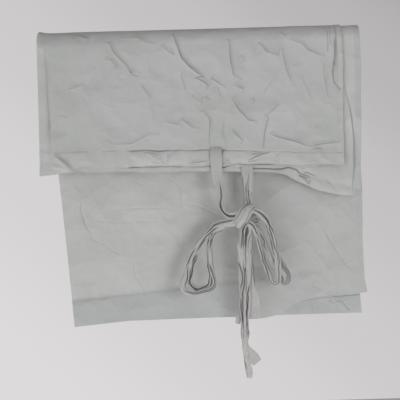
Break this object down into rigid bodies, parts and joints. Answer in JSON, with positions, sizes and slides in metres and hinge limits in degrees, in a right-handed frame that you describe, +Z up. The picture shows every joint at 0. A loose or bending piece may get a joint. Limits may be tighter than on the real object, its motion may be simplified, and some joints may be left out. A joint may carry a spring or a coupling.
{
  "type": "tie-up roman blind",
  "caption": "Thin cotton tie-up blind, folded lengthwise and hung over a rail, with a rod pocket, hems and sewn ties knotted in a bow.",
  "frame": {"origin": "On the axis of the rail that the blind hangs over, near the middle of the folded cloth's width.", "axes": "+X along the rail, from the lengthwise fold to the free side edges. -Y is the front, where the rod pocket and the bow hang. +Z up."},
  "size_m": [0.52, 0.0681, 0.5606],
  "materials": {
    "washed_cotton": "thin washed cotton, light grey, matt and creased",
    "tie_cotton": "the same cotton, gathered along its length"
  },
  "bodies": {
    "root": {"panel": "washed_cotton", "outer_front_tie": "tie_cotton", "outer_rear_tie": "tie_cotton", "inner_front_tie": "tie_cotton", "inner_rear_tie": "tie_cotton"}
  },
  "joints": []
}
